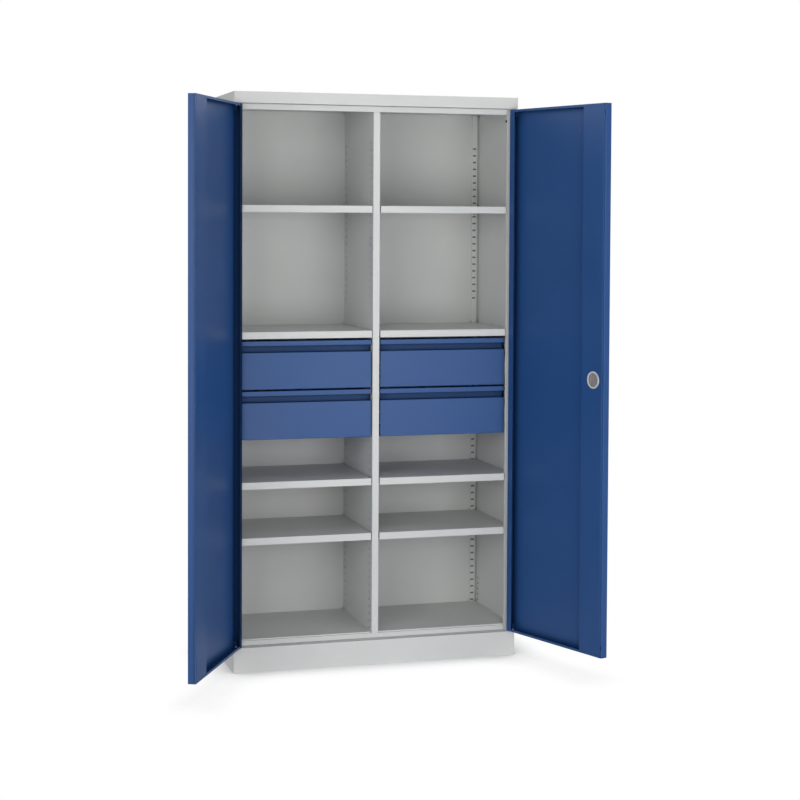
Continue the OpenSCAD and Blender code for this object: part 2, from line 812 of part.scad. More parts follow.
// rod with the yoke that rides on a cam pin; up is 1 for the upper rod, -1 for the lower
module lock_rod(up) {
    a = cam_r / sqrt(2);
    reach = up == 1 ? leaf_z1 - lock_z : lock_z - leaf_z0;
    pin_h = cam_pin_d + 2 * yoke_play;
    bridge = a + 8;
    color(zinc) at_lock() mirror([up == 1 ? 1 : 0, 0, 0]) mirror([0, 0, up == 1 ? 0 : 1]) {
        difference() {
            union() {
                box([a - 6, yoke_y0, -a - 7], [cam_r + 6.2, yoke_y0 + yoke_t, -a + 7]);
                box([cam_r - 1, yoke_y0, -a], [cam_r + 6.2, yoke_y0 + yoke_t, bridge + 8]);
                box([-rod_d / 2, yoke_y0, bridge], [cam_r + 6.2, yoke_y0 + yoke_t, bridge + 8]);
            }
            box([a - cam_pin_d / 2 - 1, yoke_y0 - 1, -a - pin_h / 2],
                [cam_r + cam_pin_d / 2 + 1, yoke_y0 + yoke_t + 1, -a + pin_h / 2]);
        }
        translate([0, rod_depth, bridge]) cylinder(d = rod_d, h = reach - bridge - 2);
        translate([0, rod_depth, reach - 2]) cylinder(d1 = rod_d, d2 = rod_d - 3, h = 2);
    }
}

// bushes that guide the rods at the door's ends and half way along
module rod_guides() {
    t = door_sheet;
    z_list = [leaf_z0 + t - lock_z, -440, 440, leaf_z1 - t - 10 - lock_z];
    color("#33363a") at_lock() for (z = z_list) difference() {
        box([-9, t, z], [9, rod_depth + 7, z + 10]);
        translate([0, rod_depth, z - 1]) cylinder(d = rod_d + 2 * turn_play, h = 12);
    }
}

module handle_rosette() {
    color(steel) at_lock() difference() {
        union() {
            rod_y(0, 0, -3, 0, grip_d + 6);
            translate([0, -3, 0]) rotate([90, 0, 0]) cylinder(d1 = grip_d + 6, d2 = grip_d + 3, h = 1);
        }
        rod_y(0, 0, -5, 1, spindle_d + 2 * turn_play);
    }
}

// low turning grip: a round-edged disc, a waisted bar across it and the key plug's bore
module rotary_handle() {
    r = grip_d / 2;
    e = 2;
    h = grip_h - grip_gap;
    color("#2e3135") at_lock() translate([0, -grip_gap, 0]) rotate([90, 0, 0]) difference() {
        union() {
            rotate_extrude() {
                rect([0, 0], [r, grip_base - e]);
                rect([0, 0], [r - e, grip_base]);
                intersection() {
                    translate([r - e, grip_base - e]) circle(e);
                    rect([0, 0], [r, grip_base]);
                }
            }
            intersection() {
                rotate_extrude() {
                    rect([0, 0], [r - 1, h - e]);
                    rect([0, 0], [r - 1 - e, h]);
                    intersection() {
                        translate([r - 1 - e, h - e]) circle(e);
                        rect([0, 0], [r, h]);
                    }
                }
                difference() {
                    cylinder(r = r, h = h);
                    for (s = [-1, 1]) translate([s * (waist / 2 + waist_r), 0, grip_base])
                        cylinder(r = waist_r, h = h);
                }
            }
        }
        translate([0, 0, plug_seat]) cylinder(d = plug_d + 2 * turn_play, h = h);
        translate([0, 0, -1]) cylinder(d = spindle_d, h = spindle_seat + 1);
    }
}

module key_plug() {
    h = grip_h - grip_gap;
    color("#c9ccd0") at_lock() translate([0, -grip_gap, 0]) rotate([90, 0, 0]) difference() {
        translate([0, 0, plug_seat + 0.4]) cylinder(d = plug_d, h = h - plug_seat + 0.4);
        box([-0.6, -4, h - 6], [0.6, 4, h + 2]);
    }
}

// ---------- drawers ----------

// height of a drawer front's lower edge
function level_z(upper) = upper ? upper_drawer_z : drawer_z;

// front with its rolled strip and full-width finger groove
module drawer_front(s, upper) {
    t = drawer_sheet;
    y = front_face_y;
    color(blue) side(s) translate([0, 0, level_z(upper)]) {
        along_x(drawer_x0 + front_side_gap, post_x - front_side_gap) folded([
            [y + groove_d + t / 2, front_foot],
            [y + groove_d + t / 2, t / 2],
            [y + t / 2, t / 2],
            [y + t / 2, front_h - grip_strip - groove_h - t / 2],
            [y + groove_d + t / 2, front_h - grip_strip - groove_h - t / 2],
            [y + groove_d + t / 2, front_h - t / 2],
            [y + t / 2, front_h - t / 2],
            [y + t / 2, front_h - grip_strip + t / 2],
            [y + 7, front_h - grip_strip + t / 2],
            [y + 7, front_h - grip_strip + 9]
        ], t, carcass_bend);
    }
}

// open box of the drawer: sides and bottom folded from one sheet with a rim along the top,
// closed by a front plate that carries the front, and by a rear wall
module drawer_box(s, upper) {
    t = drawer_sheet;
    z0 = box_rise;
    z1 = z0 + drawer_wall_h;
    y1 = box_y1;
    color(blue) side(s) translate([0, 0, level_z(upper)]) {
        along_y(box_y0 - t, y1) folded([
            [box_x0 + box_rim, z1 - t / 2],
            [box_x0 + t / 2, z1 - t / 2],
            [box_x0 + t / 2, z0 + t / 2],
            [box_x1 - t / 2, z0 + t / 2],
            [box_x1 - t / 2, z1 - t / 2],
            [box_x1 - box_rim, z1 - t / 2]
        ], t, carcass_bend);
        box([box_x0 + t / 2, box_y0 - t, z0 + carcass_bend], [box_x1 - t / 2, box_y0, z1 - carcass_bend]);
        box([box_x0 + carcass_bend, box_y0 - t, z0 + t / 2], [box_x1 - carcass_bend, box_y0, z1]);
        box([box_x0 + t / 2, y1 - t, z0 + carcass_bend], [box_x1 - t / 2, y1, z1 - carcass_bend - 6]);
        box([box_x0 + carcass_bend, y1 - t, z0 + t / 2], [box_x1 - carcass_bend, y1, z1 - 6]);
    }
}

// one runner member in section, its back at x = 0 and opening towards +X
module channel(h, w, lift) {
    translate([0, lift]) difference() {
        square([w, h]);
        translate([runner_t, runner_t]) square([w, h - 2 * runner_t]);
    }
}

// the two runners of a drawer; at the partition as drawn, at the bracket mirrored
module runner_pair(s, upper, y0, y1) {
    mid = (drawer_x0 + drawer_x1) / 2;
    color(zinc) side(s) translate([0, 0, level_z(upper) + runner_rise]) for (far_side = [0, 1])
        translate([mid * 2 * far_side, 0, 0]) mirror([far_side, 0, 0])
            translate([drawer_x0, 0, 0]) along_y(y0, y1) children();
}

module cabinet_runners(s, upper) {
    runner_pair(s, upper, box_y0, box_y1) channel(runner_h, runner_w - 2, 0);
}

module middle_runners(s, upper) {
    step = runner_t + runner_play;
    runner_pair(s, upper, box_y0 + 1, box_y1 - 2)
        translate([step, 0]) channel(runner_h - 2 * step, runner_w - step - 2.4, step);
}

module drawer_runners(s, upper) {
    step = 2 * (runner_t + runner_play);
    h = runner_h - 2 * step;
    runner_pair(s, upper, box_y0, box_y1 - 4)
        translate([runner_w, 0]) mirror([1, 0]) channel(h, runner_w - step, step);
}

// plates that carry the outer runners, hooked between each post and rear strip
module runner_brackets() {
    t = carcass_sheet;
    z = runner_rise - 6;
    color(grey) for (s = [left, right], upper = [false, true]) side(s) translate([0, 0, level_z(upper)]) {
        box([post_x - t, frame_y + 5, z], [post_x, strip_y, z + runner_h + 12]);
        box([post_x - t, strip_y - t, z], [max(post_x, strip_x) + 6, strip_y, z + runner_h + 12]);
    }
}

// ---------- one line for each piece ----------

plinth();
floor_panel();
side(left) side_panel();  // left_side_panel
side(right) side_panel();  // right_side_panel
back_panel();
top_cap();
ceiling_panel();
partition();
side(left) rear_strip();  // left_rear_strip
side(right) rear_strip();  // right_rear_strip
shelf(left, shelf_1_z);  // left_shelf_1
shelf(left, shelf_2_z);  // left_shelf_2
shelf(left, shelf_3_z);  // left_shelf_3
shelf(left, shelf_4_z);  // left_shelf_4
shelf(right, shelf_1_z);  // right_shelf_1
shelf(right, shelf_2_z);  // right_shelf_2
shelf(right, shelf_3_z);  // right_shelf_3
shelf(right, shelf_4_z);  // right_shelf_4
shelf_clips();
hinge_pins();
runner_brackets();
plugs_and_buffers();
door_panel(left);  // left_door_panel
door_stiffener(left);  // left_door_stiffener
left_stop_strip();
pivot_bearings(left);  // left_pivot_bearings
bearing_screws(left);  // left_bearing_screws
door_panel(right);  // right_door_panel
door_stiffener(right);  // right_door_stiffener
pivot_bearings(right);  // right_pivot_bearings
bearing_screws(right);  // right_bearing_screws
lock_case();
lock_ring();
rod_guides();
handle_rosette();
rotary_handle();
lock_spindle();
key_plug();
lock_rod(1);  // upper_lock_rod
lock_rod(-1);  // lower_lock_rod
drawer_front(left, true);  // upper_left_drawer_front
drawer_box(left, true);  // upper_left_drawer_box
cabinet_runners(left, true);  // upper_left_cabinet_runners
middle_runners(left, true);  // upper_left_middle_runners
drawer_runners(left, true);  // upper_left_drawer_runners
drawer_front(left, false);  // lower_left_drawer_front
drawer_box(left, false);  // lower_left_drawer_box
cabinet_runners(left, false);  // lower_left_cabinet_runners
middle_runners(left, false);  // lower_left_middle_runners
drawer_runners(left, false);  // lower_left_drawer_runners
drawer_front(right, true);  // upper_right_drawer_front
drawer_box(right, true);  // upper_right_drawer_box
cabinet_runners(right, true);  // upper_right_cabinet_runners
middle_runners(right, true);  // upper_right_middle_runners
drawer_runners(right, true);  // upper_right_drawer_runners
drawer_front(right, false);  // lower_right_drawer_front
drawer_box(right, false);  // lower_right_drawer_box
cabinet_runners(right, false);  // lower_right_cabinet_runners
middle_runners(right, false);  // lower_right_middle_runners
drawer_runners(right, false);  // lower_right_drawer_runners
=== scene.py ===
import json
import math

import bmesh
import bpy
from mathutils import Matrix, Vector


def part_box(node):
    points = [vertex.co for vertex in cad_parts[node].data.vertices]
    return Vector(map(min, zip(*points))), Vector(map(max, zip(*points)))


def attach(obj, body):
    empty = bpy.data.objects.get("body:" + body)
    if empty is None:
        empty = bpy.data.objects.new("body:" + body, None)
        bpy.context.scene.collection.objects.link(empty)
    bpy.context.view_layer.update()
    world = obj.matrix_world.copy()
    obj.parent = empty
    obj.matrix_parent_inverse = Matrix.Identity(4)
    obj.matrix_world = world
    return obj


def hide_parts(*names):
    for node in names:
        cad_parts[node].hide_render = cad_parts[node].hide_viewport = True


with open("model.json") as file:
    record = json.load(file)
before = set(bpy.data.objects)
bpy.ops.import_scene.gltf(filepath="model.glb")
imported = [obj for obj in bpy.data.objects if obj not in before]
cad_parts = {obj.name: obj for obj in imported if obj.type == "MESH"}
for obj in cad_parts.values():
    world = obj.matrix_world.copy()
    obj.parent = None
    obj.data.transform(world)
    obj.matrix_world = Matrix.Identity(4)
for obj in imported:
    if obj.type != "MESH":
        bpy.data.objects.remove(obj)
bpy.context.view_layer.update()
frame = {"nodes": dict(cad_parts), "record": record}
print("cabinet loaded:", len(frame["nodes"]), "sheet-metal and lock pieces")
scene = bpy.context.scene

# worn edges with painted highlight, and rounded normals: rays for each look, and the cosine between rounded
# and flat normal at an edge and on the flat
edgeLook = {"samples": 4, "span": (0.80, 0.995)}


class Tree:
    # short way to write the nodes of a material or of the world

    def __init__(self, owner, output="ShaderNodeOutputMaterial"):
        owner.use_nodes = True
        self.nodes = owner.node_tree.nodes
        self.links = owner.node_tree.links
        self.nodes.clear()
        self.output = self.add(output)

    def add(self, kind, inputs=None, **settings):
        node = self.nodes.new(kind)
        for key, value in settings.items():
            setattr(node, key, value)
        for key, value in (inputs or {}).items():
            self.join(value, node.inputs[key])
        return node

    def join(self, value, socket):
        if isinstance(value, bpy.types.NodeSocket):
            self.links.new(value, socket)
        else:
            socket.default_value = value

    def show(self, shader):
        self.links.new(shader.outputs[0], self.output.inputs[0])

    def calc(self, operation, *values, **settings):
        return self.add("ShaderNodeMath", dict(enumerate(values)), operation=operation, **settings).outputs[0]

    def place(self):
        return self.add("ShaderNodeTexCoord").outputs["Object"]

    def noise(self, size, detail=2.0, rough=0.5, stretch=(1, 1, 1)):
        # size is the width of one feature in metres
        spot = self.add("ShaderNodeMapping", {"Vector": self.place(), "Scale": stretch}).outputs["Vector"]
        return self.add("ShaderNodeTexNoise", {
            "Vector": spot, "Scale": 1.0 / size, "Detail": detail, "Roughness": rough,
        }).outputs["Fac"]

    def span(self, value, low, high, fromLow=0.0, fromHigh=1.0):
        return self.add("ShaderNodeMapRange", {
            "Value": value, "From Min": fromLow, "From Max": fromHigh, "To Min": low, "To Max": high,
        }).outputs["Result"]

    def mixColour(self, factor, a, b):
        # the node's factor is input 0, its colours are inputs 6 and 7 and output 2
        node = self.add("ShaderNodeMix", data_type="RGBA")
        self.join(factor, node.inputs[0])
        for socket, value in ((node.inputs[6], a), (node.inputs[7], b)):
            self.join(value if isinstance(value, bpy.types.NodeSocket) else (*value, 1.0), socket)
        return node.outputs[2]

    def within(self, low, high):
        # 1 inside a box in metres and in its mirror image on the other side of x = 0
        inside = 1.0
        for axis, a, b in zip(self.add("ShaderNodeSeparateXYZ", {0: self.place()}).outputs, low, high):
            if axis.name == "X":
                axis = self.calc("ABSOLUTE", axis)
            for kind, limit in (("GREATER_THAN", a), ("LESS_THAN", b)):
                inside = self.calc("MULTIPLY", self.calc(kind, axis, limit), inside)
        return inside

    def openness(self, reach, samples):
        # 1 in the open, less where walls within reach close a spot in
        return self.add("ShaderNodeAmbientOcclusion", {"Distance": reach}, samples=samples).outputs["AO"]

    def edge(self, radius):
        # 1 at a folded or cut edge and 0 on the flat, and the normal rounded over that edge
        soft = self.add("ShaderNodeBevel", {"Radius": radius}, samples=edgeLook["samples"]).outputs["Normal"]
        flat = self.add("ShaderNodeNewGeometry").outputs["Normal"]
        lean = self.add("ShaderNodeVectorMath", {0: soft, 1: flat}, operation="DOT_PRODUCT").outputs["Value"]
        return self.span(lean, 1.0, 0.0, *edgeLook["span"]), soft


def shade(tone, share, lift=0.0):
    return [min(1.0, c * share + lift) for c in tone]


middle = (0.3, 0.7)   # the part of a noise that most spots lie in

powderCoat = {
    "grain": 0.0011,         # width of the orange-peel grain
    "peel": 0.00006,         # its depth
    "peelStrength": 0.35,
    "grainRough": 0.6,
    "edgeRadius": 0.0009,
    "cloud": 0.35,           # width of the soft tone changes
    "cloudSpan": (0.35, 0.65),
    "deep": 0.97,            # shares of the tone at their darkest and palest
    "pale": 1.03,
    "speck": 3.2,            # width of the pale specks, in grains
    "speckSpan": (0.45, 0.75),
    "speckShare": 0.12,
    "scuff": 0.02,           # length of the rubbed stretches of an edge
    "scuffSpan": (0.42, 0.7),
    "scuffShare": 0.55,
    "roughSpan": (-0.03, 0.04),
    "gloss": 0.3,            # specular level in the open and in the painted shade
    "glossInShade": 0.02,
    "openSamples": 8,
    "boxShadeTone": 0.34,      # share of the tone left in a box's painted shade
}
# painted shade in gaps: how far round a spot its walls are looked for, how open it is where the painted
# shade is full and where it ends, and the share of the tone left in full painted shade
sheetCreviceShade = {"reach": 0.022, "span": (0.16, 0.46), "tone": 0.50}
grooveShade = {"reach": 0.045, "span": (0.30, 0.90), "tone": 0.30}
doorCreviceShade = {"reach": 0.050, "span": (0.30, 0.80), "tone": 0.42}


def powderPaint(name, paint, creviceShade=sheetCreviceShade, hollow=None):
    material = bpy.data.materials.new(name)
    t, coat, tone, rough = Tree(material), powderCoat, paint["tone"], paint["rough"]
    wearAndHighlightEdge, rounded = t.edge(coat["edgeRadius"])
    cloud = t.noise(coat["cloud"], detail=3.0)
    grain = t.noise(coat["grain"], rough=coat["grainRough"])
    speck = t.noise(coat["grain"] * coat["speck"], detail=1.0)
    pale = shade(tone, coat["pale"])
    base = t.mixColour(t.span(cloud, 0.0, 1.0, *coat["cloudSpan"]), shade(tone, coat["deep"]), pale)
    base = t.mixColour(t.span(speck, 0.0, coat["speckShare"], *coat["speckSpan"]), base, pale)
    scuff = t.span(t.noise(coat["scuff"], detail=3.0), 0.0, coat["scuffShare"], *coat["scuffSpan"])
    # painted highlight and wear: edges paler in rubbed stretches
    base = t.mixColour(t.calc("MULTIPLY", wearAndHighlightEdge, scuff), base, paint["wearAndHighlightTone"])
    # painted shade: tone and gloss darkened where walls within reach close a spot in
    outOfShade = t.span(t.openness(creviceShade["reach"], coat["openSamples"]), 0.0, 1.0, *creviceShade["span"])
    base = t.mixColour(outOfShade, shade(tone, creviceShade["tone"]), base)
    if hollow:
        # painted shade: tone and gloss darkened inside the given boxes, in a closed channel or behind a lip
        inShadeBox = t.within(*hollow)
        base = t.mixColour(inShadeBox, base, shade(tone, coat["boxShadeTone"]))
        outOfShade = t.calc("SUBTRACT", outOfShade, inShadeBox, use_clamp=True)
    bump = t.add("ShaderNodeBump", {
        "Height": grain, "Normal": rounded, "Strength": coat["peelStrength"], "Distance": coat["peel"],
    })
    low, high = coat["roughSpan"]
    t.show(t.add("ShaderNodeBsdfPrincipled", {
        "Base Color": base, "Roughness": t.span(cloud, rough + low, rough + high, *middle),
        "Normal": bump.outputs["Normal"], "Specular IOR Level": t.span(outOfShade, coat["glossInShade"], coat["gloss"]),
    }))
    return material


# zinc, nickel, aluminium and plain steel: soft patches, fine drawn lines and paler edges, worn and with
# painted highlight
plating = {
    "edgeRadius": 0.0004,
    "patchRough": 0.6,
    "dark": 0.82,            # shares of the tone in the patches and at the edges
    "light": 1.08,
    "edge": 1.25,
    "edgeShare": 0.35,
    "line": 0.0006,          # width of the drawn lines
    "lineDepth": 0.00003,
    "lineStrength": 0.3,
    "roughSpan": (-0.06, 0.08),
}


def platedMetal(name, tone, rough, patch, streak=(1, 1, 1), metal=1.0):
    material = bpy.data.materials.new(name)
    t = Tree(material)
    wearAndHighlightEdge, rounded = t.edge(plating["edgeRadius"])
    bloom = t.noise(patch, detail=4.0, rough=plating["patchRough"])
    lines = t.noise(plating["line"], detail=3.0, stretch=streak)
    dark, light = shade(tone, plating["dark"]), shade(tone, plating["light"])
    base = t.mixColour(t.span(bloom, 0.0, 1.0, *middle), dark, light)
    # painted highlight and wear: paler edges
    base = t.mixColour(t.span(wearAndHighlightEdge, 0.0, plating["edgeShare"]), base, shade(tone, plating["edge"]))
    bump = t.add("ShaderNodeBump", {
        "Height": lines, "Normal": rounded,
        "Strength": plating["lineStrength"], "Distance": plating["lineDepth"],
    })
    low, high = plating["roughSpan"]
    t.show(t.add("ShaderNodeBsdfPrincipled", {
        "Base Color": base, "Metallic": metal, "Roughness": t.span(bloom, rough + low, rough + high, *middle),
        "Normal": bump.outputs["Normal"],
    }))
    return material


moulding = {
    "edgeRadius": 0.0005,
    "haze": 0.012,           # width of the soft tone changes
    "dark": 0.9,             # shares of the tone in them and at the edges
    "light": 1.15,
    "edge": 2.2,
    "edgeLift": 0.02,
    "edgeShare": 0.3,
    "pebble": 0.0005,        # width of the mould's texture
    "pebbleDepth": 0.00008,
    "pebbleStrength": 0.3,
    "roughSpan": (-0.05, 0.05),
}


def mouldedPlastic(name, tone, rough):
    material = bpy.data.materials.new(name)
    t = Tree(material)
    wearAndHighlightEdge, rounded = t.edge(moulding["edgeRadius"])
    haze = t.noise(moulding["haze"], detail=3.0)
    pebble = t.noise(moulding["pebble"])
    dark, light = shade(tone, moulding["dark"]), shade(tone, moulding["light"])
    base = t.mixColour(t.span(haze, 0.0, 1.0, *middle), dark, light)
    # painted highlight and wear: paler edges
    wearAndHighlightTone = shade(tone, moulding["edge"], moulding["edgeLift"])
    base = t.mixColour(t.span(wearAndHighlightEdge, 0.0, moulding["edgeShare"]), base, wearAndHighlightTone)
    bump = t.add("ShaderNodeBump", {
        "Height": pebble, "Normal": rounded,
        "Strength": moulding["pebbleStrength"], "Distance": moulding["pebbleDepth"],
    })
    low, high = moulding["roughSpan"]
    t.show(t.add("ShaderNodeBsdfPrincipled", {
        "Base Color": base, "Roughness": t.span(haze, rough + low, rough + high, *middle),
        "Normal": bump.outputs["Normal"],
    }))
    return material


# where shade is painted in, as boxes in metres: in the closed channels of rear strip and partition, and on
# the left door's lip beside its post
hollows = {
    "skin": 0.0013,          # just over one thickness of carcass sheet
    "stripFace": 0.00065,    # half of it, at the strip's front
    "behindStrip": 0.01,     # past its back
    "acrossMiddle": -1,      # lowest x of a box that takes in x = 0
    "hingeLip": ((0.468, -0.233, 0), (0.486, -0.2085, 2)),
}
skin = hollows["skin"]
stripLow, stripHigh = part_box("right_rear_strip")
postLow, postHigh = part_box("partition")
insideStrip = ((stripLow.x + skin, stripLow.y + hollows["stripFace"], stripLow.z),
               (stripHigh.x - skin, stripHigh.y + hollows["behindStrip"], stripHigh.z))
insidePartition = ((hollows["acrossMiddle"], postLow.y + skin, 0),
                   (postHigh.x - skin, postHigh.y - skin, postHigh.z))

lightGrey = {"tone": (0.63, 0.64, 0.63), "wearAndHighlightTone": (0.74, 0.75, 0.74), "rough": 0.42}
shadedBackGrey = {**lightGrey, "tone": shade(lightGrey["tone"], 0.95)}   # the back panel a little darker: painted shade
gentian = {"tone": (0.0206, 0.0785, 0.245), "wearAndHighlightTone": (0.075, 0.15, 0.34), "rough": 0.40}
finishes = {
    "carcass_paint": powderPaint("lightGreyPowder", lightGrey, hollow=insideStrip),
    "partition_paint": powderPaint("lightGreyPowderOnPartition", lightGrey, hollow=insidePartition),
    "back_paint": powderPaint("lightGreyPowderOnBack", shadedBackGrey),
    "door_paint": powderPaint("gentianPowder", gentian, doorCreviceShade),
    "left_door_paint": powderPaint("gentianPowderOnLeftDoor", gentian, doorCreviceShade, hollows["hingeLip"]),
    "front_paint": powderPaint("gentianPowderOnFronts", gentian, grooveShade),
    "zinc": platedMetal("zincPlate", (0.50, 0.485, 0.47), 0.42, 0.03, metal=0.55),
    "pin_steel": platedMetal("turnedSteel", (0.50, 0.51, 0.52), 0.30, 0.01, (1, 1, 6)),
    "ring_metal": platedMetal("satinAluminium", (0.80, 0.80, 0.79), 0.45, 0.02, metal=0.30),
    "disc_steel": platedMetal("warmDisc", (0.37, 0.345, 0.33), 0.42, 0.012, metal=0.30),
    "cam_steel": platedMetal("pressedSteel", (0.46, 0.47, 0.48), 0.42, 0.015),
    "guide_plastic": mouldedPlastic("blackGuide", (0.022, 0.022, 0.024), 0.5),
    "handle_plastic": mouldedPlastic("darkGrip", (0.035, 0.037, 0.040), 0.42),
    "plug_metal": platedMetal("nickelPlug", (0.72, 0.72, 0.71), 0.22, 0.01),
}
finishOf = {part["node"]: part["material_slot"] for part in frame["record"]["subparts"]}
finishOf.update({name: "front_paint" for name in finishOf if name.endswith("drawer_front")})
finishOf.update({
    "partition": "partition_paint", "back_panel": "back_paint", "left_door_panel": "left_door_paint",
})
for name, node in frame["nodes"].items():
    finish = finishes[finishOf[name]]
    if not node.material_slots:
        node.data.materials.append(finish)
    for slot in node.material_slots:
        slot.material = finish
print("finishes on:", ", ".join(sorted(finishes)))


# pieces of the right door's lock, all on the handle's axis
doorLock = {
    "leaf": 0.026,           # thickness of the door
    "steps": 96,             # facets of everything round
    "weld": 0.00001,         # points closer than this become one
    "near": 0.0002,          # points closer to a size than this are on it
    "level": 0.5,            # height of a normal from which its face is flat and not upright
    "creaseAngle": 35,       # degrees from which an edge shows sharp
}


def lockPlace(depth, outward=False):
    # depth metres in from the door's outer face, with z towards the inside or, if outward, the outside
    joints = frame["record"]["behaviour"]["joints"]
    turning = next(joint for joint in joints if joint["name"] == "handle_turn")
    inner = Vector(turning["axis"])
    ahead = -inner if outward else inner
    up = Vector((0, 0, 1))
    turned = Matrix((up.cross(ahead), up, ahead)).transposed()
    return Matrix.Translation(Vector(turning["pos_m"]) + inner * depth) @ turned.to_4x4()


def spun(shape, profile, closed=True):
    # turn a profile of (radius, height) round the z axis of the piece
    made = [shape.verts.new((r, 0, h)) for r, h in profile]
    following = made[1:] + made[:1] if closed else made[1:]
    edges = [shape.edges.new(pair) for pair in zip(made, following)]
    bmesh.ops.spin(shape, geom=made + edges, axis=(0, 0, 1), cent=(0, 0, 0), angle=math.tau,
                   steps=doorLock["steps"], use_merge=True)
    bmesh.ops.remove_doubles(shape, verts=shape.verts, dist=doorLock["weld"])


def arc(centre, radius, start, end, steps=6):
    # points of a rounded corner, angles in degrees
    angles = (math.radians(start + (end - start) * i / steps) for i in range(steps + 1))
    return [(centre[0] + radius * math.cos(a), centre[1] + radius * math.sin(a)) for a in angles]


def finishPiece(name, shape, place, finish, body, replaced=()):
    bmesh.ops.recalc_face_normals(shape, faces=shape.faces)
    bmesh.ops.transform(shape, matrix=place, verts=shape.verts)
    mesh = bpy.data.meshes.new(name)
    shape.to_mesh(mesh)
    shape.free()
    mesh.materials.append(finishes[finish])
    mesh.shade_smooth()
    mesh.set_sharp_from_angle(angle=math.radians(doorLock["creaseAngle"]))
    piece = bpy.data.objects.new(name, mesh)
    scene.collection.objects.link(piece)
    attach(piece, body)
    if replaced:
        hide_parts(*replaced)
    print("made", name)


ring = {
    "bore": 0.0230, "outer": 0.0285, "height": 0.0025,
    "round": 0.0007,
    "boreRound": 0.6,        # the bore's rounding as a share of the outer one
}


def buildLockRing():
    bore, outer, height, soft = (ring[k] for k in ("bore", "outer", "height", "round"))
    small = soft * ring["boreRound"]
    shape = bmesh.new()
    spun(shape, [(bore, 0), (outer, 0)] + arc((outer - soft, height - soft), soft, 0, 90)
         + arc((bore + small, height - small), small, 90, 180))
    finishPiece("lockRing", shape, lockPlace(doorLock["leaf"]), "ring_metal",
                "right_door", ["lock_ring"])


# thin face over the spindle's flange: a rim, a sunk dish and a boss in the middle
discFace = {
    "lift": 0.0238,          # from the door's outer face
    "rim": 0.0223, "dish": 0.0180, "boss": 0.0072, "thick": 0.0007, "sunk": 0.00045,
    "rimRound": 0.0003, "rimSteps": 4,
    "dishSlope": 0.0006, "bossSlope": 0.0010, "bossDrop": 0.0001,
}


def buildDiscFace():
    rim, dish, boss, thick, soft = (discFace[k] for k in ("rim", "dish", "boss", "thick", "rimRound"))
    floor = thick - discFace["sunk"]
    shape = bmesh.new()
    spun(shape, [(0, 0), (rim, 0)] + arc((rim - soft, thick - soft), soft, 0, 90, discFace["rimSteps"])
         + [(dish + discFace["dishSlope"], thick), (dish, floor), (boss + discFace["bossSlope"], floor),
            (boss, thick - discFace["bossDrop"]), (0, thick)], closed=False)
    finishPiece("lockDiscFace", shape, lockPlace(discFace["lift"]), "disc_steel", "lock_handle")


grip = {
    "gap": 0.0044,           # from the door's skin to the grip
    "radius": 0.022, "base": 0.006, "baseRound": 0.002, "baseChamfer": 0.0004,
    "barRadius": 0.0203, "height": 0.0176,
    "waist": 0.0065,         # half the bar's width at its middle
    "hollow": 0.022,         # radius of the hollows beside it
    "boss": 0.0079,          # round the key plug
    "soft": 0.0010, "softSteps": 3,
    "sink": 0.0002,          # how far the bar goes into the base
    "plugBore": 0.00606, "plugSeat": 0.004, "spindle": 0.0050, "spindleSeat": 0.0036,
}


def buildTurningGrip():
    g = grip
    soft, chamfer = g["baseRound"], g["baseChamfer"]
    shape = bmesh.new()
    spun(shape, [(0, g["spindleSeat"]), (g["spindle"], g["spindleSeat"]), (g["spindle"], 0),
                 (g["radius"] - chamfer, 0), (g["radius"], chamfer)]
         + arc((g["radius"] - soft, g["base"] - soft), soft, 0, 90)
         + [(g["plugBore"], g["base"]), (g["plugBore"], g["plugSeat"]), (0, g["plugSeat"])], closed=False)
    # waisted bar: a round of points drawn in at the sides, bridged to the bore and pulled up
    bar = bmesh.new()
    start = Matrix.Translation((0, 0, g["base"] - g["sink"]))
    steps = doorLock["steps"]
    outer = bmesh.ops.create_circle(bar, segments=steps, radius=g["barRadius"], matrix=start)["verts"]
    for vert in outer:
        y = min(abs(vert.co.y), g["hollow"])
        side = g["waist"] + g["hollow"] - math.sqrt(g["hollow"] ** 2 - y ** 2)
        side = max(side, math.sqrt(max(0.0, g["boss"] ** 2 - y ** 2)))
        vert.co.x = math.copysign(min(abs(vert.co.x), side), vert.co.x)
    bmesh.ops.create_circle(bar, segments=steps, radius=g["plugBore"], matrix=start)
    bmesh.ops.bridge_loops(bar, edges=list(bar.edges))
    rise = bmesh.ops.extrude_face_region(bar, geom=list(bar.faces), use_keep_orig=True)["geom"]
    top = [item for item in rise if isinstance(item, bmesh.types.BMVert)]
    bmesh.ops.translate(bar, verts=top, vec=(0, 0, g["height"] - g["base"] + g["sink"]))
    # soften the top's outer rim, where the flat meets the sides, and leave the bore sharp
    rim = []
    for edge in bar.edges:
        flat = [abs(face.normal.z) > doorLock["level"] for face in edge.link_faces]
        raised = all(vert.co.z > g["base"] for vert in edge.verts)
        outside = any(vert.co.xy.length > g["plugBore"] + doorLock["near"] for vert in edge.verts)
        if raised and outside and len(flat) == 2 and flat[0] != flat[1]:
            rim.append(edge)
    bmesh.ops.bevel(bar, geom=rim, offset=g["soft"], offset_type="OFFSET", affect="EDGES",
                    segments=g["softSteps"], profile=0.5, material=-1, clamp_overlap=False)
    mesh = bpy.data.meshes.new("gripBar")
    bar.to_mesh(mesh)
    bar.free()
    shape.from_mesh(mesh)
    bpy.data.meshes.remove(mesh)
    finishPiece("turningGrip", shape, lockPlace(-g["gap"], outward=True), "handle_plastic",
                "lock_handle", ["rotary_handle"])


buildLockRing()
buildDiscFace()
buildTurningGrip()


studio = {
    "worldLight": 0.16,
    "white": (1, 1, 1, 1),
    "floorTone": (0.93, 0.93, 0.93, 1),
    "floorSize": 30,                # metres
    "contact": 0.16,                # reach of the shadow that stays on the white floor
    "contactSpan": (0.40, 0.92),    # how open a spot is where the floor is grey and where it is white
    "contactSamples": 16,
    "lampAim": (0, 0, 1.0),
}
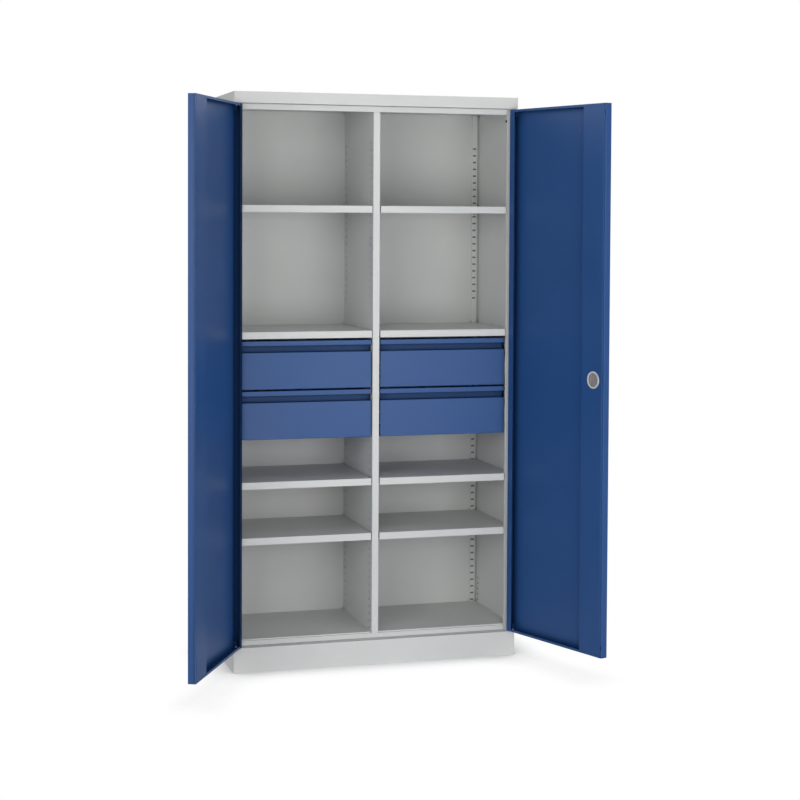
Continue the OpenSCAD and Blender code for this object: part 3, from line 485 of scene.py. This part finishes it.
# power in watts, side and place in metres
softboxes = {
    "keySoftbox": (113.0, 3.0, (-3.4, -4.6, 1.7)),
    "fillSoftbox": (49.0, 3.0, (3.4, -4.6, 1.9)),
    "lowSoftbox": (57.0, 2.0, (0.6, -4.6, 0.9)),
    "topSoftbox": (16.0, 2.6, (0.0, -2.6, 4.4)),
    "sideSoftbox": (75.0, 2.6, (4.6, 2.4, 3.2)),
    "backSoftbox": (75.0, 2.6, (-4.6, 2.8, 3.2)),
}


def buildFloor():
    shape = bmesh.new()
    bmesh.ops.create_grid(shape, x_segments=1, y_segments=1, size=studio["floorSize"])
    mesh = bpy.data.meshes.new("studioFloor")
    shape.to_mesh(mesh)
    shape.free()
    floor = bpy.data.objects.new("studioFloor", mesh)
    scene.collection.objects.link(floor)
    # white to the camera, but for the shadow round the plinth and under the doors
    material = bpy.data.materials.new("studioFloor")
    t = Tree(material)
    clear = t.span(t.openness(studio["contact"], studio["contactSamples"]), 0.0, 1.0, *studio["contactSpan"])
    amount = t.calc("MULTIPLY", clear, t.add("ShaderNodeLightPath").outputs["Is Camera Ray"])
    plain = t.add("ShaderNodeBsdfDiffuse", {"Color": studio["floorTone"]})
    white = t.add("ShaderNodeEmission", {"Color": studio["white"], "Strength": 1.0})
    t.show(t.add("ShaderNodeMixShader", {0: amount, 1: plain.outputs[0], 2: white.outputs[0]}))
    mesh.materials.append(material)


def buildWorld():
    # white to the camera, and a low even light on the cabinet
    scene.world = bpy.data.worlds.new("studioWorld")
    t = Tree(scene.world, "ShaderNodeOutputWorld")
    rays = t.add("ShaderNodeLightPath").outputs
    seen = t.calc("MAXIMUM", rays["Is Camera Ray"], rays["Is Transmission Ray"])
    light = t.add("ShaderNodeBackground", {"Color": studio["white"], "Strength": studio["worldLight"]})
    white = t.add("ShaderNodeBackground", {"Color": studio["white"], "Strength": 1.0})
    t.show(t.add("ShaderNodeMixShader", {0: seen, 1: light.outputs[0], 2: white.outputs[0]}))


def addSoftbox(name, power, size, place):
    lamp = bpy.data.lights.new(name, "AREA")
    lamp.energy = power
    lamp.shape = "SQUARE"
    lamp.size = size
    box = bpy.data.objects.new(name, lamp)
    box.location = place
    box.rotation_euler = (Vector(studio["lampAim"]) - Vector(place)).to_track_quat("-Z", "Y").to_euler()
    scene.collection.objects.link(box)


# where the photograph was taken from: place in metres, angles in degrees, lens in millimetres
viewpoint = {
    "place": (-1.646, -6.073, 1.522), "yaw": -16.41, "pitch": -2.26, "roll": 0.275,
    "lens": 80.48, "shift": (-0.0018, -0.1358),
    "farthest": 60,          # metres that the camera sees
}


def placeCamera():
    yaw, pitch, roll = (math.radians(viewpoint[k]) for k in ("yaw", "pitch", "roll"))
    ahead = Vector((-math.sin(yaw) * math.cos(pitch), math.cos(yaw) * math.cos(pitch), math.sin(pitch)))
    across = Vector((math.cos(yaw), math.sin(yaw), 0))
    above = across.cross(ahead)
    right = across * math.cos(roll) + above * math.sin(roll)
    up = above * math.cos(roll) - across * math.sin(roll)
    turned = Matrix((right, up, -ahead)).transposed()
    lens = bpy.data.cameras.new("photoCamera")
    lens.lens = viewpoint["lens"]
    lens.shift_x, lens.shift_y = viewpoint["shift"]
    lens.clip_end = viewpoint["farthest"]
    camera = bpy.data.objects.new("photoCamera", lens)
    camera.matrix_world = Matrix.Translation(viewpoint["place"]) @ turned.to_4x4()
    scene.collection.objects.link(camera)
    scene.camera = camera


scene.view_settings.view_transform = "Standard"
buildFloor()
buildWorld()
for name, settings in softboxes.items():
    addSoftbox(name, *settings)
placeCamera()
print("studio and camera set")
